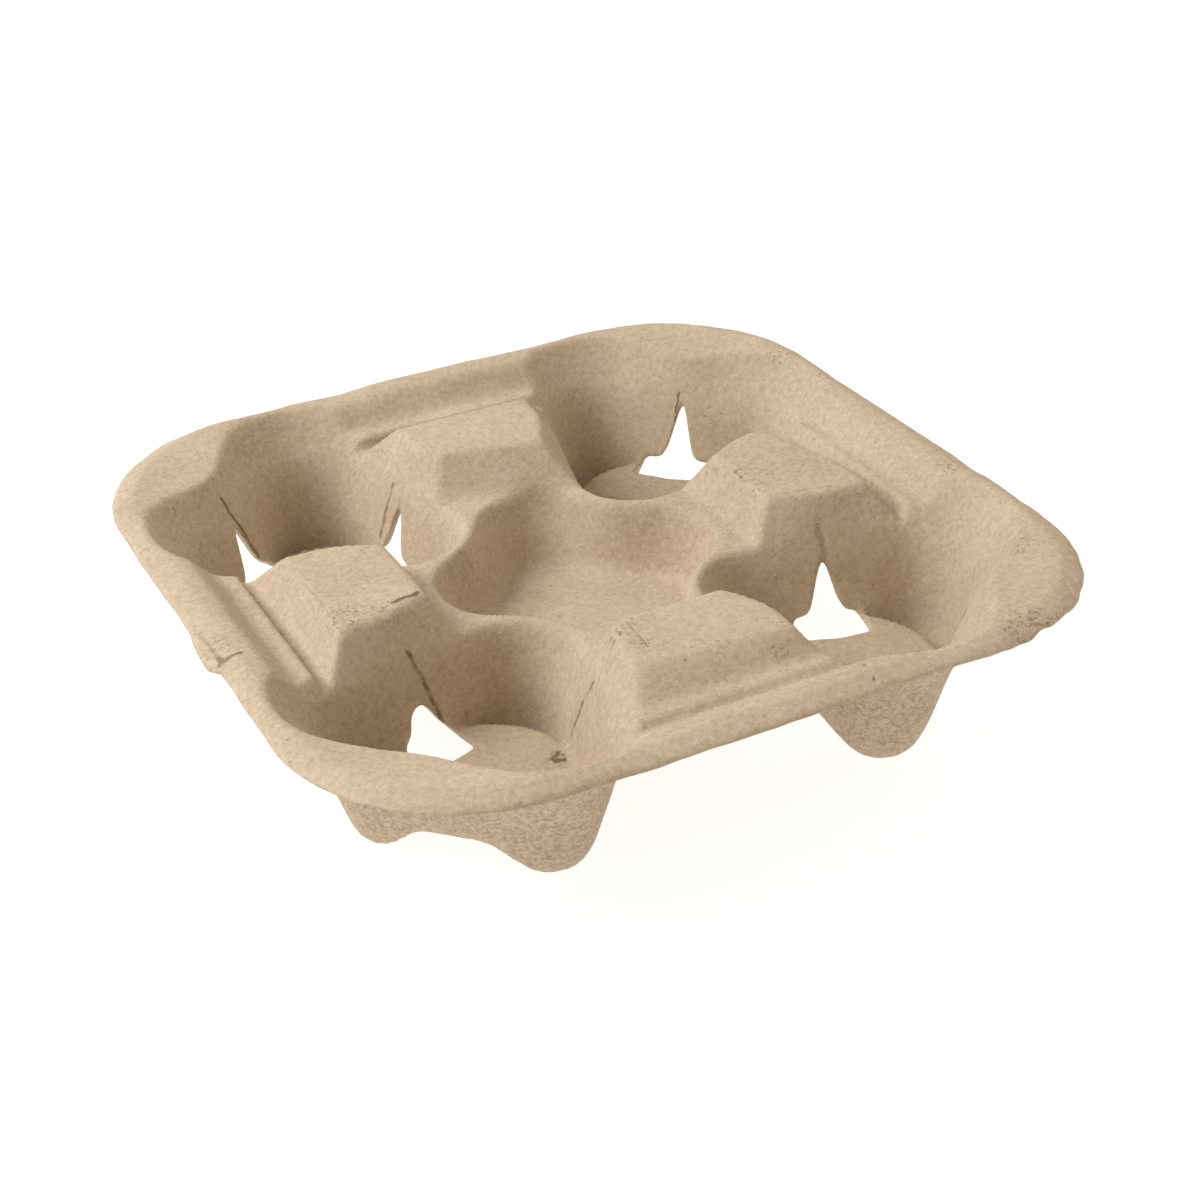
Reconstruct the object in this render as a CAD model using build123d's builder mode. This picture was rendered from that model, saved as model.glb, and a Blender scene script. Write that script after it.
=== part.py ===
from build123d import *
from math import atan2, cos, degrees, radians, sin, sqrt, tan
import os

os.makedirs("parts", exist_ok=True)

# Overall
side = 210.0              # square across the lip
height = 44.0             # ground to the rim crest
wall = 2.0                # thickness of the pulp

# Rim
corner_radius = 48.0      # lip corner in plan
lip_width = 5.0           # crest out to the lip
lip_drop = 2.0            # crest down to the lip
lip_rounding = 2.6
rim_width = 9.5           # lip to the inner edge of the rim
rim_wall_angle = 42.0     # inner wall of the rim, from upright
bowl_corner = 59.8        # corner of the rim's inner edge in plan

# Cup pockets
pocket_pitch = 103.4      # between the middles of neighbouring pockets
lobe_reach = 22.6         # pocket's middle to the middle of a lobe
lobe_radius = 16.1        # at the flare
flare_level = 29.5
pocket_draft = 17.0
flare_angle = 36.0
seat_radius = 24.0
seat_level = 11.0
foot_draft = 15.0
foot_rounding = 4.0
seat_rounding = 2.5

# Blocks between the pockets
block_top = 42.0
block_back = 2.8          # top's inner edge, inwards of the pockets' middles
block_front = 21.5        # top's outer edge, outwards of them
block_inner_angle = 29.0
block_outer_angle = 37.0
block_rounding = 2.5

# Ledge beside the rim, with a shallow groove along the blocks
ledge_level = 36.5
groove_level = 35.0
groove_width = 5.0

# Recess in the middle
ridge_level = 31.0
ridge_width = 3.0
ridge_rounding = 1.4
recess_floor = 12.5
recess_draft = 20.0
recess_rounding = 6.0

# Slots
slot_top = 32.8
slot_tip_width = 1.8
slot_foot_width = 10.6
bar_width = 20.0
bar_top = 12.0
bar_inner = 10.6
slot_rounding = 5.0

half = side / 2
pocket_offset = pocket_pitch / 2
block_inner = pocket_offset - block_back
block_outer = pocket_offset + block_front
crest = half - lip_width
bowl_half = half - rim_width
bowl_centre = bowl_half - bowl_corner
well_distance = pocket_offset * sqrt(2)


def widen(angle, offset):
    """How far a wall leaning by angle moves sideways when its skin is offset."""
    return offset / cos(radians(angle))


def lean(angle, rise):
    return rise * tan(radians(angle))


def cup_seat(offset):
    """The raised floor of one pocket, a rounded boss between its hollow feet."""
    foot = seat_radius + lean(foot_draft, seat_level + wall) - widen(foot_draft, offset)
    rise = seat_level - offset + wall
    with BuildPart() as seat:
        with Locations((0, 0, -wall)):
            Cone(foot, foot - lean(foot_draft, rise), rise,
                 align=(Align.CENTER, Align.CENTER, Align.MIN))
        if offset == 0:
            fillet(seat.edges().group_by(Axis.Z)[-1], seat_rounding)
    return seat.part


def cup_well(offset):
    """The space in one pocket, its outer corner towards +X: a tapered rounded
    triangle that flares above flare_level and runs down into three feet round the seat."""
    middle = radians((pocket_draft + flare_angle) / 2)
    spread = cos(radians((flare_angle - pocket_draft) / 2))
    knee_radius = lobe_radius + offset * cos(middle) / spread
    knee = flare_level - offset * sin(middle) / spread
    floor = wall - offset
    seat_foot = seat_radius + lean(foot_draft, seat_level + wall) - widen(foot_draft, offset)
    with BuildPart() as well:
        with BuildSketch(Plane.XY.offset(floor)):
            with PolarLocations(lobe_reach, 3, start_angle=180):
                Circle(knee_radius - lean(pocket_draft, knee - floor))
            make_hull()
        extrude(amount=knee - floor, taper=-pocket_draft)
        fillet(well.edges().group_by(Axis.Z)[0], foot_rounding + offset)
        with BuildSketch(Plane.XY.offset(knee)):
            with PolarLocations(lobe_reach, 3, start_angle=180):
                Circle(knee_radius)
            make_hull()
        extrude(amount=height + wall - knee, taper=-flare_angle)
        add(cup_seat(offset), mode=Mode.SUBTRACT)
    return well.part


def recess(offset):
    """The space in the middle, its sides running round the lobes of the pockets."""
    floor = recess_floor - offset
    rise = ridge_level - floor
    inset = lean(recess_draft, rise) - widen(recess_draft, offset)
    lobe_x = (well_distance - lobe_reach) / sqrt(2)
    reach = block_inner - lean(block_inner_angle, block_top - ridge_level) - inset
    with BuildPart() as space:
        with BuildSketch(Plane.XY.offset(floor)) as outline:
            Rectangle(2 * reach, 2 * reach)
            with GridLocations(2 * lobe_x, 2 * lobe_x, 2, 2):
                Circle(lobe_radius + ridge_width + inset, mode=Mode.SUBTRACT)
            fillet(outline.vertices(), recess_rounding + offset)
        extrude(amount=rise, taper=-recess_draft)
        fillet(space.edges().group_by(Axis.Z)[0], recess_rounding - 1 + offset)
    return space.part


def ground(offset, edge):
    """Everything below the tray's skin, the skin moved down by offset, out to edge."""
    well = cup_well(offset)
    lip_slope = degrees(atan2(lip_width, lip_drop))
    rim_top = height - offset
    fall = (edge - crest) * lip_drop / lip_width
    with BuildPart() as land:
        # slab with a rim that falls away to the lip
        with BuildSketch(Plane.XY.offset(-2 * wall)):
            RectangleRounded(2 * edge, 2 * edge, corner_radius + edge - half)
        extrude(amount=rim_top - fall + 2 * wall)
        with BuildSketch(Plane.XY.offset(rim_top - fall)):
            RectangleRounded(2 * edge, 2 * edge, corner_radius + edge - half)
        extrude(amount=fall, taper=lip_slope)
        # dish inside the rim down to the ledge, and the groove in it
        ledge = ledge_level - offset
        dish = bowl_half - lean(rim_wall_angle, height - ledge) + widen(rim_wall_angle, offset)
        with BuildSketch(Plane.XY.offset(ledge)):
            RectangleRounded(2 * dish, 2 * dish, dish - bowl_centre)
        extrude(amount=height + wall - ledge, taper=-rim_wall_angle, mode=Mode.SUBTRACT)
        groove = block_outer + lean(block_outer_angle, block_top - groove_level) + groove_width + offset
        with BuildSketch(Plane.XY.offset(groove_level - offset)):
            RectangleRounded(2 * groove, 2 * groove, groove - bowl_centre)
        extrude(amount=height, mode=Mode.SUBTRACT)
        # table whose remains are the four blocks
        base = groove_level - 2 * wall
        table = block_outer + lean(block_outer_angle, block_top - base) \
            - widen(block_outer_angle, offset)
        with BuildSketch(Plane.XY.offset(base)):
            Rectangle(2 * table, 2 * table)
        extrude(amount=block_top - offset - base, taper=block_outer_angle)
        middle = block_inner - lean(block_inner_angle, block_top - ridge_level) \
            + widen(block_inner_angle, offset)
        with BuildSketch(Plane.XY.offset(ridge_level - offset)):
            Rectangle(2 * (middle - lean(block_inner_angle, offset)),
                      2 * (middle - lean(block_inner_angle, offset)))
        extrude(amount=height + wall - ridge_level, taper=-block_inner_angle, mode=Mode.SUBTRACT)
        add(recess(offset), mode=Mode.SUBTRACT)
        # pockets
        with PolarLocations(well_distance, 4, start_angle=45):
            add(well, mode=Mode.SUBTRACT)
    return land.part


def edges_at(part, level):
    return part.edges().filter_by_position(Axis.Z, level - 0.01, level + 0.01)


def soften(skin):
    """Round the edges of the upper skin: ridge, block tops and the turned lip."""
    skin = fillet(edges_at(skin, ridge_level), ridge_rounding)
    blocks = edges_at(skin, block_top).filter_by(
        lambda e: max(abs(e.center().X), abs(e.center().Y)) < block_outer + 0.1)
    skin = fillet(blocks, block_rounding)
    lip = edges_at(skin, height - lip_drop).filter_by(
        lambda e: sqrt(e.center().X ** 2 + e.center().Y ** 2) > crest)
    return fillet(lip, lip_rounding)


def slot_cutter():
    """One tall slot with a bar across its foot, cut outwards along +X."""
    reach = lobe_reach / 2 + lobe_radius + 4 * wall
    half_tip, half_foot = slot_tip_width / 2, slot_foot_width / 2
    with BuildPart() as cutter:
        with BuildSketch(Plane.XY.offset(-wall)):
            with Locations(((bar_inner + reach) / 2, 0)):
                RectangleRounded(reach - bar_inner, bar_width, slot_rounding)
        extrude(amount=bar_top + wall)
        with BuildSketch(Plane.YZ.offset(bar_inner + wall)):
            with BuildLine():
                Polyline((-half_foot, 0), (-half_foot, bar_top), (-half_tip, slot_top),
                         (half_tip, slot_top), (half_foot, bar_top), (half_foot, 0), close=True)
            make_face()
        extrude(amount=reach - bar_inner - 2 * wall, dir=(1, 0, 0))
    return cutter.part


upper = soften(ground(0, half))
lower = ground(wall, half + 2 * wall)
slots = slot_cutter()
with BuildPart() as tray:
    add(upper)
    add(lower, mode=Mode.SUBTRACT)
    with PolarLocations(well_distance, 4, start_angle=45):
        with PolarLocations(0, 3):
            add(slots, mode=Mode.SUBTRACT)

tray.part.label = "tray"
export_step(tray.part, "parts/tray.step")
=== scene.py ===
import math

import bpy
import numpy as np
from mathutils import Matrix, Vector


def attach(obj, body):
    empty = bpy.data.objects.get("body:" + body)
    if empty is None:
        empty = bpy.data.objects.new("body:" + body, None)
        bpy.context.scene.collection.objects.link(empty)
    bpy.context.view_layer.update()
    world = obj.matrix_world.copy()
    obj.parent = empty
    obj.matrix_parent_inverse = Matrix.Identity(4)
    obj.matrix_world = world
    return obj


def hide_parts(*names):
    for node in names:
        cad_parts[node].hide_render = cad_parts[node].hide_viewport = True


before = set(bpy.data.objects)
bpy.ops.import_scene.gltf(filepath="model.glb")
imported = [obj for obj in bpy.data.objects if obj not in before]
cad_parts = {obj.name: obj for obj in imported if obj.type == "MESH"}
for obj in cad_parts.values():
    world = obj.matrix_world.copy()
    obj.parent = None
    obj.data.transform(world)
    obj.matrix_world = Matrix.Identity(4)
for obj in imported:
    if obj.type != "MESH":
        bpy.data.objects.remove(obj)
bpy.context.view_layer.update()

# The tray is one piece of grey-brown paper pulp, sucked wet on to a mesh mould and dried,
# so every wall leans enough to leave the mould, and its top is one height over the plan.
# Heights and plan sizes here are in millimetres, and become metres in the mesh.

half_side = 105.0
lip_corner = 48.0
pulp_wall = 2.0


def soft_min(a, b, blend):
    """The lower of two heights, rounded off where they are closer than blend."""
    near = np.clip(blend - np.abs(a - b), 0, None) / blend
    return np.minimum(a, b) - near ** 2 * blend / 4


def soft_max(a, b, blend):
    """The higher of two heights, with a fillet where they are closer than blend."""
    return -soft_min(-a, -b, blend)


def steepness(angle):
    """Rise of a wall for each millimetre across, from its lean off upright in degrees."""
    return 1 / math.tan(math.radians(angle))


def outside_square(x, y, half, corner):
    """Distance outside a square with rounded corners, negative inside it."""
    out_x, out_y = np.abs(x) - half + corner, np.abs(y) - half + corner
    beyond = np.hypot(np.maximum(out_x, 0), np.maximum(out_y, 0))
    return beyond + np.minimum(np.maximum(out_x, out_y), 0) - corner


def near_place(x, y, place_x, place_y, reach):
    """1 at a place in the plan, falling off as a bell curve whose width is reach."""
    return np.exp(-((x - place_x) ** 2 + (y - place_y) ** 2) / reach ** 2)


# Rim
rim_height = 44.0
ridge_inset = 5.6
ridge_level = 43.8
flange_sink = 0.17


def rim_surface(x, y):
    """Height of the rim: a ridge a little in from the lip, a band that falls from it to the
    lip and rolls over there, and a flange that sinks from it as far as the ledge and is
    then out of reach above the blocks. The front edge dips by up to a millimetre."""
    inward = -outside_square(x, y, half_side, lip_corner)
    flange = ridge_level - flange_sink * (inward - ridge_inset)
    flange = flange + 1.2 * np.clip(inward - 24, 0, None)
    ridge = soft_min(ridge_level - 0.4 * (ridge_inset - inward), flange, 0.6)
    dip = np.exp(-((x + 25) / 30) ** 2 - ((y + 97) / 9) ** 2)
    return soft_min(ridge, rim_height - 2.6 + 2.2 * inward, 2.4) - dip


# Inside of the rim
rim_lean = 42
dish_middle = 28.0     # the corners' arcs turn round this far from both middle lines
groove_level = 32.9
ledge_level = 36.5


def dish_surface(x, y):
    """Height inside the rim: a leaning wall down to a ledge, and a groove that runs along
    the foot of the blocks, but at the front along the foot of the wall."""
    from_middle = outside_square(x, y, dish_middle, 0.0)
    wall = rim_height + (from_middle - 67.5) * steepness(rim_lean)
    step = np.clip((from_middle - 54.2) / 1.8, 0, 1)
    ledge = groove_level + 3.5 * step * step * (3 - 2 * step)
    front = ledge_level - 1.7 * np.exp(-((from_middle - 56.8) / 1.4) ** 2)
    return soft_max(np.where(-y > np.abs(x), front, ledge), wall, 1.8)


# Blocks: from the tray's middle to a top's inner and outer edge, and their leans
block_level = 42.0
block_inner = 48.9
block_outer = 73.2
inner_lean = 29
outer_lean = 37
land_level = 31.0


def block_surface(x, y):
    """Height of the four blocks: a flat table with leaning sides, hollow in the middle. No
    two blocks of this soft tray sit quite square: the right one is skewed, the front one
    has a gentler outer side, and the inner side of the back one is turned."""
    x = x + 4.5 * near_place(x, y, 71, 20, 15) - 2.5 * near_place(x, y, 76, -13, 14)
    across = soft_max(np.abs(x), np.abs(y), 3.0)
    front_edge = 71.2 + 0.08 * np.clip(x, -30, 30)
    at_front = -y > np.abs(x)
    edge = np.where(at_front, front_edge, block_outer)
    fall = np.where(at_front, 5.6 / (79.0 - front_edge), steepness(outer_lean))
    table = soft_min(block_level, block_level - (across - edge) * fall, 1.2)
    at_back = y > np.abs(x)
    edge = np.where(at_back, 48.8 - 0.29 * np.clip(x, -24, 24), block_inner)
    fall = np.where(at_back, steepness(41), steepness(inner_lean))
    middle = soft_max(land_level, block_level + (across - edge) * fall, 2.2)
    return table, middle


# Middle recess: half its side, and the bite that each pocket takes from it
recess_half = 38.8
bite_middle = 35.7
bite_radius = 19.4
recess_level = 12.5
recess_lean = 18


def recess_surface(x, y):
    """Height of the middle recess: a square with a bite round each pocket, and leaning sides."""
    from_bite = np.hypot(np.abs(x) - bite_middle, np.abs(y) - bite_middle)
    across = np.maximum(np.abs(x), np.abs(y))
    outside = soft_max(across - recess_half, bite_radius - from_bite, 16.0)
    return soft_max(recess_level, land_level + outside * steepness(recess_lean), 4.0)


# Cup pockets: three lobes round the middle of each, and three flats between them
pocket_offset = 51.7
lobe_reach = 22.6
lobe_radius = 16.1
flat_angles = np.radians([45.0, 165.0, 285.0])
pocket_lean = 17
flare_level = 29.5
flare_lean = 36
seat_level = 11.0
seat_radius = 23.2
seat_lean = 15
foot_level = 2.0
# How far each flat stands in under the rim, by the signs of x and y
flat_bulges = {(-1, -1): (1.5, 4.0, 3.0), (-1, 1): (7.0, 3.0, 4.5),
               (1, 1): (4.0, 3.0, 5.0), (1, -1): (4.5, 8.0, 3.5)}


def outside_triangle(x, y):
    """Distance outside the triangle whose corners are the middles of a pocket's lobes."""
    half_edge = lobe_reach * math.sin(math.radians(60))
    deepest = np.full(x.shape, -1e9)
    nearest = np.full(x.shape, 1e9)
    for angle in flat_angles:
        out = x * np.cos(angle) + y * np.sin(angle) - lobe_reach / 2
        along = np.abs(y * np.cos(angle) - x * np.sin(angle)) - half_edge
        deepest = np.maximum(deepest, out)
        nearest = np.minimum(nearest, np.hypot(np.maximum(along, 0), out))
    return np.where(deepest > 0, nearest, deepest)


def pocket_surface(x, y):
    """Height in a pocket: a tapered rounded triangle that flares at the top, its flats
    bulging in there, and its lobes running down into feet round a raised round seat."""
    px, py = np.abs(x) - pocket_offset, np.abs(y) - pocket_offset
    out = outside_triangle(px, py) - lobe_radius
    wall = flare_level + out * steepness(pocket_lean)
    wall = soft_min(wall, flare_level + out * steepness(flare_lean), 3.6)
    for (side_x, side_y), bulges in flat_bulges.items():
        here = (x * side_x > 0) & (y * side_y > 0)
        for angle, bulge in zip(flat_angles, bulges):
            along = py * np.cos(angle) - px * np.sin(angle)
            near = here & (px * np.cos(angle) + py * np.sin(angle) > 15)
            share = np.exp(-(along / 10) ** 2) * np.clip((wall - 30) / 9, 0, 1)
            wall = wall + np.where(near, bulge * share, 0)
    floor = soft_max(wall, foot_level, 6.5)
    seat_side = seat_level - (np.hypot(px, py) - seat_radius) * steepness(seat_lean)
    return soft_max(floor, soft_min(seat_level, seat_side, 3.6), 3.0)


def tray_top(x, y):
    """Height of the tray's upper skin: rim, ledge, blocks and recess, cut by the pockets."""
    table, middle = block_surface(x, y)
    skin = soft_max(dish_surface(x, y), table, 1.0)
    skin = soft_min(skin, middle, 1.0)
    skin = soft_min(skin, recess_surface(x, y), 1.4)
    skin = soft_min(skin, rim_surface(x, y), 1.4)
    return soft_min(skin, pocket_surface(x, y), 1.4)


raster_step = 0.5
raster_half = 112.0
raster_axis = np.arange(-raster_half, raster_half + raster_step / 2, raster_step)


def from_raster(raster, x, y):
    """Value of a raster at any point, mixed from the four cells round it."""
    u = np.clip((x + raster_half) / raster_step, 0, len(raster) - 1.001)
    v = np.clip((y + raster_half) / raster_step, 0, len(raster) - 1.001)
    i, j = u.astype(int), v.astype(int)
    s, t = u - i, v - j
    return ((raster[i, j] * (1 - s) + raster[i + 1, j] * s) * (1 - t)
            + (raster[i, j + 1] * (1 - s) + raster[i + 1, j + 1] * s) * t)


def eroded(raster, radius):
    """Height of the surface that lies radius below the raster all over: the lowest
    of the balls of that radius that hang from it."""
    reach = int(radius / raster_step)
    lowest = raster - radius
    for i in range(-reach, reach + 1):
        for j in range(-reach, reach + 1):
            spare = radius ** 2 - (i * i + j * j) * raster_step ** 2
            if spare >= 0:
                moved = np.roll(raster, (i, j), (0, 1)) - math.sqrt(spare)
                lowest = np.minimum(lowest, moved)
    return lowest


top_raster = tray_top(*np.meshgrid(raster_axis, raster_axis, indexing="ij"))
under_raster = eroded(top_raster, pulp_wall)

# How each slot came off the mould, by the signs of x and y of its pocket and the number of
# its flat: half width of the finger at its tip, how much that grows down to the foot, half
# width of the bar, and the levels that finger and bar reach. One slot has no bar, so the
# arch between its feet is whole, and the twelfth flat stayed closed.
slot_habits = {
    (-1, -1, 0): (0.5, 3.6, 0.0, 27.0, 0.0), (-1, -1, 2): (3.4, 0.8, 7.8, 19.8, 13.0),
    (-1, 1, 0): (0.5, 4.6, 9.5, 27.0, 12.0), (-1, 1, 1): (0.5, 3.4, 9.0, 26.5, 12.0),
    (-1, 1, 2): (0.8, 4.4, 10.0, 30.0, 12.0), (1, 1, 0): (0.5, 4.0, 12.0, 28.5, 12.0),
    (1, 1, 1): (0.5, 2.0, 4.0, 28.0, 11.4), (1, 1, 2): (0.8, 4.4, 10.0, 30.0, 12.0),
    (1, -1, 0): (0.8, 3.6, 4.5, 30.0, 11.4), (1, -1, 1): (0.8, 4.4, 10.0, 30.0, 12.0),
    (1, -1, 2): (0.5, 4.0, 10.4, 27.0, 12.0),
}
bar_level = 12.0
bar_inner = 10.6       # from the pocket's middle


def outside_slot(x, y):
    """How far outside the nearest slot a point is: a finger that narrows upwards, on a wide
    bar that cuts the foot of the wall and the rim of the seat."""
    z = tray_top(x, y)
    outside = np.full(x.shape, 1e9)
    for (side_x, side_y, flat), habit in slot_habits.items():
        tip, spread, bar_half, finger_top, bar_top = habit
        px, py = x * side_x - pocket_offset, y * side_y - pocket_offset
        angle = flat_angles[flat]
        out = px * np.cos(angle) + py * np.sin(angle)
        along = np.abs(py * np.cos(angle) - px * np.sin(angle))
        finger = along - tip - spread * (finger_top - z) / (finger_top - bar_level)
        finger = soft_max(finger, z - finger_top - 0.5, max(1.2, 1.4 * tip))
        bar = soft_max(along - bar_half, z - bar_top, 3.0)
        slot = soft_min(finger, bar, 1.0) if bar_half else soft_max(finger, 20.0 - z, 1.0)
        slot = soft_max(slot, bar_inner - out, 3.5)
        outside = np.where((px > -pocket_offset) & (py > -pocket_offset),
                           np.minimum(outside, slot), outside)
    return outside


def lumps(points, size, seed):
    """Random bumps about size across, from -1 to 1: a random number at each corner of a
    cubic lattice, mixed by a smooth step in between."""
    lattice = np.random.default_rng(seed).uniform(-1, 1, (48, 48, 48))
    cell = np.floor(points / size).astype(int)
    t = points / size - cell
    t = t * t * (3 - 2 * t)
    total = 0
    for corner in np.ndindex(2, 2, 2):
        weight = np.prod(np.where(corner, t, 1 - t), axis=-1)
        i, j, k = np.moveaxis((cell + corner) % 48, -1, 0)
        total = total + weight * lattice[i, j, k]
    return total


# Grid of points over the plan, closer together on the walls and at the slots
across_count = 221
relax_rounds = 260
side_steps = np.linspace(-1, 1, across_count)
grid_u, grid_v = np.meshgrid(side_steps, side_steps, indexing="ij")


def lip_reach(angle):
    """Distance from the middle to the lip in one direction."""
    c, s = np.abs(np.cos(angle)), np.abs(np.sin(angle))
    straight = half_side / np.maximum(c, s)
    centre = half_side - lip_corner
    on_corner = np.minimum(c, s) * straight > centre
    spare = np.clip(lip_corner ** 2 - centre ** 2 * (c - s) ** 2, 0, None)
    return np.where(on_corner, centre * (c + s) + np.sqrt(spare), straight)


def spread_grid():
    """Plan positions of the grid: concentric rounded squares, then every inner point is
    moved again and again to the mean of its neighbours, the steeper links pulling harder."""
    angle = np.arctan2(grid_v, grid_u)
    reach = np.maximum(np.abs(grid_u), np.abs(grid_v)) * lip_reach(angle)
    x, y = reach * np.cos(angle), reach * np.sin(angle)
    slot_raster = outside_slot(*np.meshgrid(raster_axis, raster_axis, indexing="ij"))
    for _ in range(relax_rounds):
        z = from_raster(top_raster, x, y)
        pull = 1 + np.exp(-np.abs(from_raster(slot_raster, x, y)) / 2.0)
        weights, sums_x, sums_y = 0, 0, 0
        for axis, way in ((0, 1), (0, -1), (1, 1), (1, -1)):
            nx, ny, nz = (np.roll(a, way, axis) for a in (x, y, z))
            flat = np.hypot(nx - x, ny - y) + 1e-6
            weight = np.hypot(flat, nz - z) / flat * pull
            weights = weights + weight
            sums_x = sums_x + weight * nx
            sums_y = sums_y + weight * ny
        x[1:-1, 1:-1] = ((x + sums_x / weights) / 2)[1:-1, 1:-1]
        y[1:-1, 1:-1] = ((y + sums_y / weights) / 2)[1:-1, 1:-1]
    return x, y


def snapped_to_slots(x, y):
    """The grid with its points that lie very near the outline of a slot moved on to it, by
    a few steps down the slope of outside_slot, and the value of outside_slot at each."""
    small = 0.02
    value = outside_slot(x, y)
    near = np.abs(value) < 1.5
    ex, ey = x[near], y[near]
    for _ in range(4):
        here = outside_slot(ex, ey)
        gx = (outside_slot(ex + small, ey) - here) / small
        gy = (outside_slot(ex, ey + small) - here) / small
        step = here / (gx ** 2 + gy ** 2 + 0.02)
        ex, ey = ex - np.clip(step * gx, -0.2, 0.2), ey - np.clip(step * gy, -0.2, 0.2)
    moved = np.hypot(ex - x[near], ey - y[near])
    landed = (moved < 0.22) & (np.abs(outside_slot(ex, ey)) < 0.03)
    x[near], y[near] = np.where(landed, ex, x[near]), np.where(landed, ey, y[near])
    value[near] = np.where(landed, 0.0, value[near])
    return value


def clipped_cells(x, y):
    """Faces of the grid outside the slots. A cell that an outline crosses keeps the part
    outside it, with a new point wherever the outline cuts an edge of the cell."""
    value = snapped_to_slots(x, y).ravel()
    px, py = x.ravel(), y.ravel()
    number = np.arange(across_count ** 2).reshape(across_count, across_count)
    corners = np.stack([number[:-1, :-1], number[1:, :-1], number[1:, 1:], number[:-1, 1:]], -1)
    corners = corners.reshape(-1, 4)
    lowest, highest = value[corners].min(1), value[corners].max(1)
    whole = corners[lowest >= 0]
    mixed = corners[(lowest < 0) & (highest > 0)]
    pairs = np.stack([mixed, np.roll(mixed, -1, 1)], -1).reshape(-1, 2)
    crossing = np.unique(np.sort(pairs[value[pairs[:, 0]] * value[pairs[:, 1]] < 0], 1), axis=0)
    inner = np.where(value[crossing[:, 0]] > 0, crossing[:, 0], crossing[:, 1])
    outer = crossing.sum(1) - inner
    low, high = np.zeros(len(crossing)), np.ones(len(crossing))
    for _ in range(12):
        share = (low + high) / 2
        pulp = outside_slot(px[inner] + share * (px[outer] - px[inner]),
                            py[inner] + share * (py[outer] - py[inner])) > 0
        low, high = np.where(pulp, share, low), np.where(pulp, high, share)
    new_x = px[inner] + low * (px[outer] - px[inner])
    new_y = py[inner] + low * (py[outer] - py[inner])
    cut = {tuple(pair): len(px) + k for k, pair in enumerate(crossing.tolist())}
    clipped = []
    for cell in mixed.tolist():
        polygon = []
        for here, after in zip(cell, cell[1:] + cell[:1]):
            if value[here] >= 0:
                polygon.append(here)
            if value[here] * value[after] < 0:
                polygon.append(cut[min(here, after), max(here, after)])
        if len(polygon) > 2:
            clipped.append(polygon)
    return np.append(px, new_x), np.append(py, new_y), whole.tolist() + clipped


def downhill(raster, x, y):
    """Upward unit normal of a raster surface at some points."""
    reach = 0.6
    dx = (from_raster(raster, x + reach, y) - from_raster(raster, x - reach, y)) / (2 * reach)
    dy = (from_raster(raster, x, y + reach) - from_raster(raster, x, y - reach)) / (2 * reach)
    normal = np.stack([-dx, -dy, np.ones(x.shape)], -1)
    return normal / np.linalg.norm(normal, axis=-1, keepdims=True)


def ragged_lip(points):
    """Small shifts of the rim's edge: long waves, short tears that are deepest near the
    front right corner, a folded flap that ends in a step on the left side, and two
    stretches where the whole edge lies a little further in."""
    x, y = points[:, 0], points[:, 1]
    inward = np.clip(-outside_square(x, y, half_side, lip_corner), 0, None)
    outward = points[:, :2] / (np.abs(points[:, :2]).max(1, keepdims=True) + 1e-6)
    torn = 0.18 + 0.9 * near_place(x, y, 67, -102, 13)
    flap = (x < 0) * np.clip((y + 20.5) / 0.8, 0, 1) * np.clip((-3 - y) / 9, 0, 1) ** 0.5
    near = np.exp(-inward / 2.4)
    shift = near * (torn * lumps(points, 3.3, 7) + 1.7 * flap + 0.35 * lumps(points, 9, 8)
                    - 1.1 * near_place(x, y, -105, -38, 30)
                    - 1.1 * near_place(x, y, 105, 55, 35))
    lift = 0.5 * np.exp(-inward / 14) * lumps(points, 34, 9) + near * (
        torn * lumps(points, 4.1, 10) - 1.0 * flap)
    return np.column_stack([outward * shift[:, None], lift])


def links(faces):
    """Directed edges of all the faces, and those that only one face has: the lip and the
    outlines of the slots."""
    every = {(a, b) for face in faces for a, b in zip(face, face[1:] + face[:1])}
    single = sorted((a, b) for a, b in every if (b, a) not in every)
    return np.array(sorted(every)), np.array(single)


def settled(x, y, every, rim):
    """Plan positions of the underside, spread as evenly over it as the grid is over the
    top: a sharp valley above is a broad ridge below, which needs more points."""
    moving = np.ones(len(x), bool)
    moving[rim.ravel()] = False
    start, end = every[moving[every[:, 0]]].T
    for _ in range(24):
        z = from_raster(under_raster, x, y)
        flat = np.hypot(x[end] - x[start], y[end] - y[start]) + 1e-3
        weight = np.hypot(flat, z[end] - z[start]) / flat
        total = np.bincount(start, weight, len(x)) + 1e-9
        mean_x = np.bincount(start, weight * x[end], len(x)) / total
        mean_y = np.bincount(start, weight * y[end], len(x)) / total
        x, y = np.where(moving, (x + mean_x) / 2, x), np.where(moving, (y + mean_y) / 2, y)
    return x, y


def skins(x, y, every, rim):
    """Points of the upper skin, and of the underside square to it through the wall, both
    with the shifts of the lip and with soft bumps along their normals."""
    normal = downhill(top_raster, x, y)
    upper = np.stack([x, y, tray_top(x, y)], -1)
    low_x, low_y = settled(x - pulp_wall * normal[:, 0], y - pulp_wall * normal[:, 1], every, rim)
    lower = np.stack([low_x, low_y, from_raster(under_raster, low_x, low_y)], -1)
    low_normal = downhill(under_raster, low_x, low_y)
    lip = ragged_lip(upper)
    upper_bumps = 0.22 * lumps(upper, 13, 1) + 0.10 * lumps(upper, 3.1, 2)
    lower_bumps = 0.22 * lumps(lower, 13, 1) + 0.16 * lumps(lower, 2.6, 3)
    return (upper + lip + normal * upper_bumps[:, None],
            lower + lip + low_normal * lower_bumps[:, None])


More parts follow.
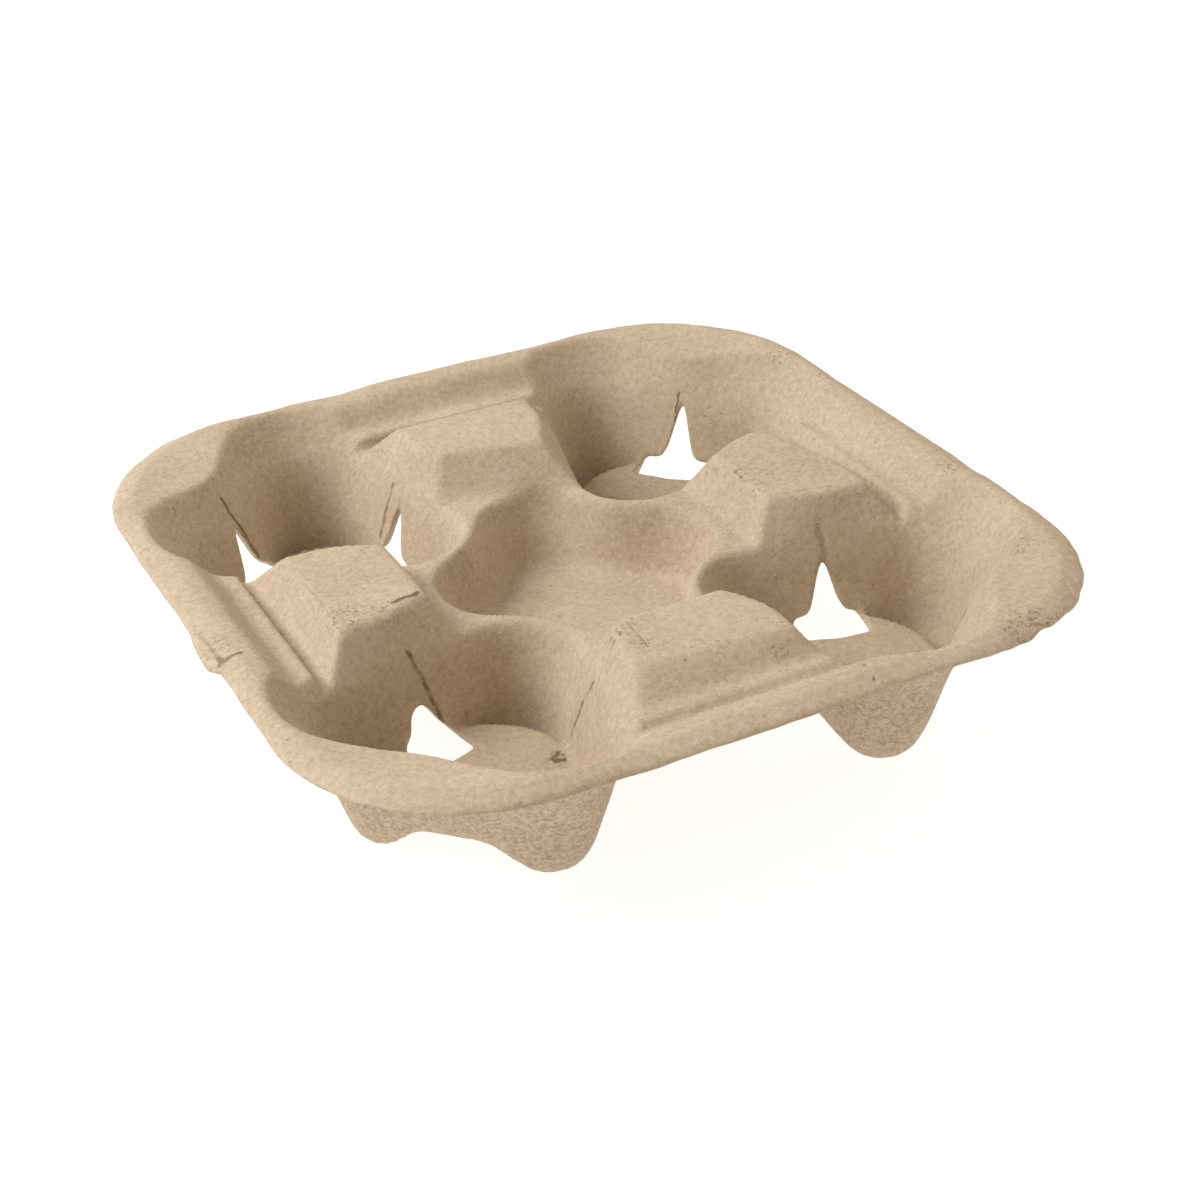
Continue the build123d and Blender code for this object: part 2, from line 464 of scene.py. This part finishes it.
def smoothed(points, every, rim, rounds, only_rim=False):
    """Points moved half way to the mean of their neighbours, rounds times, where the points
    of an open edge look only along it."""
    on_rim = np.zeros(len(points), bool)
    on_rim[rim.ravel()] = True
    inner = every[~on_rim[every[:, 0]]]
    pairs = np.concatenate([rim, rim[:, ::-1]] + ([] if only_rim else [inner]))
    count = np.bincount(pairs[:, 0], minlength=len(points))
    moving = count > 0
    for _ in range(rounds):
        total = np.stack([np.bincount(pairs[:, 0], points[pairs[:, 1], k], len(points))
                          for k in range(3)], -1)
        mean = total / np.maximum(count, 1)[:, None]
        points = np.where(moving[:, None], (points + mean) / 2, points)
    return points


def on_tray(x, y):
    """Point of the upper skin above a place in the plan."""
    return np.array([x, y, tray_top(np.array([x]), np.array([y]))[0]])


# Cracks, as two places in the plan with a width and a darkness, and worn patches with
# their reach and darkness
cracks = [
    (-57.5, -14.8, -50.2, -13.6, 0.8, 0.8), (-103.6, -20.4, -97.6, -20.2, 0.8, 0.7),
    (-72.8, 72.4, -68.5, 71.5, 0.75, 0.8), (-68.5, 71.5, -64.3, 70.8, 0.75, 0.8),
    (-25.6, 63.6, -28.4, 63.3, 0.75, 0.8), (-28.4, 63.3, -31.2, 63.1, 0.75, 0.8),
    (-58.2, -23.2, -55.4, -26.1, 0.75, 0.8), (-55.4, -26.1, -52.4, -29.2, 0.8, 0.8),
    (-45.8, -27.0, -45.6, -29.6, 0.7, 0.6), (-34.2, -53.0, -33.0, -52.4, 1.1, 0.8),
    (-33.0, -52.4, -31.6, -51.4, 0.9, 0.8), (-23.4, -54.4, -25.6, -51.7, 0.7, 0.7),
    (-25.6, -51.7, -27.8, -49.0, 0.7, 0.7), (59.0, -23.0, 60.0, -27.9, 1.4, 0.35),
    (48.9, 4.0, 49.2, -12.0, 0.5, 0.35), (51.0, -14.2, 66.0, -18.2, 0.4, 0.3),
    (-12.6, -51.5, -13.1, -63.0, 0.5, 0.3), (-73.1, 6.0, -72.8, -17.0, 0.6, 0.2),
    (24.4, -96.8, 23.6, -102.5, 0.6, 0.5), (70.9, 72.6, 68.4, 70.8, 0.6, 0.6),
    (-103.2, -5.0, -103.0, -12.5, 0.9, 0.4), (-103.0, -12.5, -103.0, -20.0, 1.0, 0.7),
    (-34.0, -54.2, -32.4, -54.8, 1.3, 0.9),
]
worn_patches = [
    (-69.0, -15.0, 8, 0.5), (-61.0, -17.0, 6, 0.5), (49.5, 1.0, 4, 0.6), (49.6, -9.0, 4, 0.6),
    (-17.0, -54.0, 5, 0.6), (-14.0, -62.0, 4, 0.5), (3.0, -70.5, 3, 0.5), (14.5, -76.2, 3, 0.5),
    (97.3, -27.1, 5, 0.5), (96.9, 58.0, 5, 0.5), (89.7, -68.4, 6, 0.5), (99.1, 39.6, 5, 0.4),
    (68.0, -102.0, 12, 0.5), (-103.0, -14.0, 7, 0.4), (-33.0, -52.4, 3.4, 0.9),
]


def wear(points):
    """How worn each point is: the darkness of a patch at its middle, falling to 0 at its
    reach, from 0.4 of that reach on."""
    worn = np.zeros(len(points))
    for x, y, reach, darkness in worn_patches:
        away = np.linalg.norm(points - on_tray(x, y), axis=1) / reach
        worn = np.maximum(worn, np.clip((1 - away) / 0.6, 0, 1) * darkness)
    return worn


def nearest_crack(points):
    """For each point the way to it from the nearest crack in widths of that crack, the
    crack's direction, one over its width, and its darkness. Past 2.2 mm the darkness is 0,
    so that nothing shows half way between two cracks."""
    nearest = np.full(len(points), 1e9)
    way, run = np.zeros((2, len(points), 3))
    fineness, darkness = np.zeros((2, len(points)))
    for x0, y0, x1, y1, width, dark in cracks:
        start, end = on_tray(x0, y0), on_tray(x1, y1)
        span = end - start
        share = np.clip((points - start) @ span / (span @ span), 0, 1)
        offset = points - start - share[:, None] * span
        away = np.linalg.norm(offset, axis=1)
        closer = away < nearest
        nearest[closer] = away[closer]
        way[closer] = offset[closer] / width
        run[closer] = span / np.linalg.norm(span)
        fineness[closer] = 1 / width
        darkness[closer] = dark
    return way, run, fineness, np.where(nearest < 2.2, darkness, 0)


def tray_mesh():
    """Both skins, joined by a strip of faces along the lip and round each slot. Its points
    carry what the material needs: 1 on the underside, the wear and the nearest crack."""
    x, y, faces = clipped_cells(*spread_grid())
    every, rim = links(faces)
    upper, lower = skins(x, y, every, rim)
    upper = smoothed(upper, every, rim, 3, only_rim=True)
    lower = smoothed(smoothed(lower, every, rim, 2), every, rim, 4, only_rim=True)
    under = len(x)
    both = faces + [[i + under for i in reversed(face)] for face in faces]
    both += [[a, a + under, b + under, b] for a, b in rim.tolist()]
    used = np.unique(np.concatenate([np.array(face) for face in both]))
    place = np.zeros(2 * under, int)
    place[used] = np.arange(len(used))
    points = np.concatenate([upper, lower])[used]
    mesh = bpy.data.meshes.new("tray_pulp")
    mesh.from_pydata(points / 1000, [], [place[face].tolist() for face in both])
    mesh.update()
    mesh.shade_smooth()
    attributes = mesh.attributes
    way, run, fineness, darkness = nearest_crack(points)
    for name, values in (("crack_way", way), ("crack_run", run)):
        attributes.new(name, "FLOAT_VECTOR", "POINT").data.foreach_set("vector", values.ravel())
    for name, values in (("underside", (used >= under).astype(float)), ("wear", wear(points)),
                         ("crack_fineness", fineness), ("crack_darkness", darkness)):
        attributes.new(name, "FLOAT", "POINT").data.foreach_set("value", values)
    return mesh


class Strand:
    """One socket of a shader. Sums, differences and products of strands add Math nodes,
    and node() adds any other node."""

    def __init__(self, tree, socket=None):
        self.tree, self.socket = tree, socket

    def node(self, kind, settings, inputs, output=0):
        made = self.tree.nodes.new(kind)
        for name, value in settings.items():
            if name == "stops":
                ramp = made.color_ramp
                while len(ramp.elements) < len(value):
                    ramp.elements.new(1.0)
                for element, (place, colour) in zip(ramp.elements, value):
                    element.position, element.color = place, (*colour, 1.0)
            else:
                setattr(made, name, value)
        for name, value in inputs.items():
            if isinstance(value, Strand):
                self.tree.links.new(value.socket, made.inputs[name])
            else:
                made.inputs[name].default_value = value
        return Strand(self.tree, made.outputs[output])

    def maths(self, operation, a, b=0.0):
        return self.node("ShaderNodeMath", {"operation": operation}, {0: a, 1: b})

    def __add__(self, other): return self.maths("ADD", self, other)
    def __radd__(self, other): return self.maths("ADD", other, self)
    def __sub__(self, other): return self.maths("SUBTRACT", self, other)
    def __rsub__(self, other): return self.maths("SUBTRACT", other, self)
    def __mul__(self, other): return self.maths("MULTIPLY", self, other)
    def __rmul__(self, other): return self.maths("MULTIPLY", other, self)

    def blended(self, factor, other):
        """This colour mixed towards another by factor."""
        return self.node("ShaderNodeMix", {"data_type": "RGBA"},
                         {0: factor, 6: self, 7: other}, 2)

    def clamped(self, low, high):
        """0 below low, 1 above high, and even in between."""
        return self.node("ShaderNodeMapRange", {}, {
            "Value": self, "From Min": low, "From Max": high})

    def vector(self, operation, inputs, output="Vector"):
        return self.node("ShaderNodeVectorMath", {"operation": operation}, inputs, output)


# Dark pulp for fibres, cracks, pits and the underside's grain, also used as the painted shade in
# the pockets
dark_pulp_and_shade = (0.17, 0.095, 0.04, 1)
pulp_browns = [(0.34, (0.41, 0.31, 0.20)), (0.5, (0.56, 0.44, 0.31)), (0.66, (0.68, 0.555, 0.415))]


def pulp_material():
    """Dry matted pulp: mottled brown with pale and dark fibres and a felt-like tooth,
    coarser on the side that lay on the mesh mould, with dark cracks and pitted patches,
    and painted shade that darkens it low down in the pockets."""
    material = bpy.data.materials.new("moulded_pulp")
    material.use_nodes = True
    tree = material.node_tree
    shader = tree.nodes["Principled BSDF"]
    start = Strand(tree)
    place = start.node("ShaderNodeTexCoord", {}, {}, "Object")

    def carried(name, output="Fac"):
        return start.node("ShaderNodeAttribute", {"attribute_name": name}, {}, output)

    def noise(scale, detail, roughness=0.55):
        return start.node("ShaderNodeTexNoise", {}, {
            "Vector": place, "Scale": scale, "Detail": detail, "Roughness": roughness})

    def darkest(a, b):
        return start.maths("MAXIMUM", a, b)

    # mottled fibres
    clouds = noise(38, 3)
    grain = noise(650, 4, 0.65)
    fine = noise(2300, 3, 0.7)
    colour = start.node("ShaderNodeValToRGB", {"stops": pulp_browns},
                        {"Fac": clouds * 0.2 + grain * 0.45 + fine * 0.35})

    # cracks, which stray a little to their sides so that they run unevenly
    wander = start.node("ShaderNodeTexNoise", {}, {
        "Vector": place, "Scale": 300.0, "Detail": 2.0}, "Color")
    stray = start.vector("MULTIPLY_ADD", {0: wander, 1: (1.8,) * 3, 2: (-0.9,) * 3})
    stray = start.vector("SCALE", {0: stray, "Scale": carried("crack_fineness")})
    run = carried("crack_run", "Vector")
    along = start.vector("DOT_PRODUCT", {0: stray, 1: run}, "Value")
    lengthways = start.vector("SCALE", {0: run, "Scale": along})
    sideways = start.vector("SUBTRACT", {0: stray, 1: lengthways})
    beside = start.vector("ADD", {0: carried("crack_way", "Vector"), 1: sideways})
    split = 1 - start.vector("LENGTH", {0: beside}, "Value").clamped(0.35, 1)
    split = split * carried("crack_darkness") * (0.35 + 0.65 * noise(170, 2).clamped(0.3, 0.52))

    # pits in the worn patches, and single dark fibres
    pits = noise(900, 3, 0.6).clamped(0.56, 0.64) * carried("wear")
    flecks = start.node("ShaderNodeTexVoronoi", {}, {"Vector": place, "Scale": 330.0}, "Distance")
    dark_fleck = (1 - flecks.clamped(0.08, 0.2)) * noise(90, 2).clamped(0.52, 0.62)

    # painted shade low down in the pockets, away from the middle recess, and the mesh side's grain
    under = carried("underside")
    height = start.node("ShaderNodeSeparateXYZ", {}, {"Vector": place}, 2)
    outward = start.vector("DISTANCE", {0: place, 1: (0, 0, 0.02)}, "Value")
    # painted shade: the lower a point of the upper skin lies and the further it is from the
    # middle, the darker it is
    pocket_painted_shade = (1 - under) * (1 - height.clamped(0.008, 0.034)) * outward.clamped(0.024, 0.06)
    coarse = under * noise(950, 2, 0.6).clamped(0.46, 0.68)

    # the dark colour is laid over cracks, pits, fibres, the underside's grain and the painted
    # shade in the pockets
    dark = darkest(dark_fleck * 0.35, darkest(split, pits))
    dark = darkest(darkest(dark, pocket_painted_shade * 0.2), coarse * 0.32)
    tree.links.new(colour.blended(dark, dark_pulp_and_shade).socket, shader.inputs["Base Color"])
    shader.inputs["Roughness"].default_value = 0.92
    shader.inputs["Specular IOR Level"].default_value = 0.25
    tooth = grain * 0.5 + fine * 0.2 - coarse * 0.6 - dark_fleck * 0.25 - pits * 0.8 - split * 1.6
    bump = start.node("ShaderNodeBump", {}, {
        "Height": tooth, "Distance": 0.00045, "Strength": 0.85})
    tree.links.new(bump.socket, shader.inputs["Normal"])
    return material


tray = bpy.data.objects.new("pulp_tray", tray_mesh())
bpy.context.scene.collection.objects.link(tray)
tray.data.materials.append(pulp_material())
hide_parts("tray")
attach(tray, "root")

# The studio: a plain pale floor, a large soft light from the upper left and a weaker
# one from the right, and the camera where the photograph was taken from.


def studio_floor():
    """A square of white paper, which shines a little so that it stays white in shade."""
    mesh = bpy.data.meshes.new("floor")
    reach = 6.0
    corners = [(-reach, -reach, 0), (reach, -reach, 0), (reach, reach, 0), (-reach, reach, 0)]
    mesh.from_pydata(corners, [], [(0, 1, 2, 3)])
    floor = bpy.data.objects.new("floor", mesh)
    material = bpy.data.materials.new("paper_floor")
    material.use_nodes = True
    shader = material.node_tree.nodes["Principled BSDF"]
    shader.inputs["Base Color"].default_value = (0.45, 0.45, 0.45, 1)
    shader.inputs["Roughness"].default_value = 0.9
    shader.inputs["Emission Color"].default_value = (1, 1, 1, 1)
    shader.inputs["Emission Strength"].default_value = 0.82
    mesh.materials.append(material)
    bpy.context.scene.collection.objects.link(floor)
    return floor


def soft_light(name, place, size, power, colour):
    """A square light that faces the middle of the floor."""
    light = bpy.data.lights.new(name, "AREA")
    light.size = size
    light.energy = power
    light.color = colour
    lamp = bpy.data.objects.new(name, light)
    lamp.location = place
    lamp.rotation_mode = "QUATERNION"
    lamp.rotation_quaternion = Vector(place).to_track_quat("Z", "Y")
    bpy.context.scene.collection.objects.link(lamp)


def studio_camera():
    """Camera that looks at the tray from an azimuth and elevation, rolled a little."""
    azimuth, elevation, roll = (math.radians(a) for a in (-25.74, 30.51, -2.34))
    aim, distance = Vector((0, 0, 0.022)), 0.5619
    level = Vector((math.cos(azimuth), math.sin(azimuth), 0))
    away = Vector((math.sin(azimuth), -math.cos(azimuth), 0))
    back = away * math.cos(elevation) + Vector((0, 0, math.sin(elevation)))
    rise = back.cross(level)
    right = level * math.cos(roll) + rise * math.sin(roll)
    camera = bpy.data.cameras.new("camera")
    camera.lens = 64.08
    camera.shift_x, camera.shift_y = 0.0171, -0.0117
    stand = bpy.data.objects.new("camera", camera)
    turn = Matrix((right, back.cross(right), back)).transposed().to_4x4()
    stand.matrix_world = Matrix.Translation(aim + back * distance) @ turn
    bpy.context.scene.collection.objects.link(stand)
    bpy.context.scene.camera = stand


studio_floor()
soft_light("key_light", (-0.84, 0.36, 0.94), 0.7, 16.4, (0.93, 0.96, 1.0))
soft_light("fill_light", (1.2, 0.1, 0.6), 1.4, 5.0, (1.0, 0.95, 0.88))
world = bpy.data.worlds.new("studio")
world.use_nodes = True
world.node_tree.nodes["Background"].inputs["Color"].default_value = (1, 0.91, 0.77, 1)
world.node_tree.nodes["Background"].inputs["Strength"].default_value = 0.43
bpy.context.scene.world = world
bpy.context.scene.view_settings.view_transform = "Standard"
studio_camera()
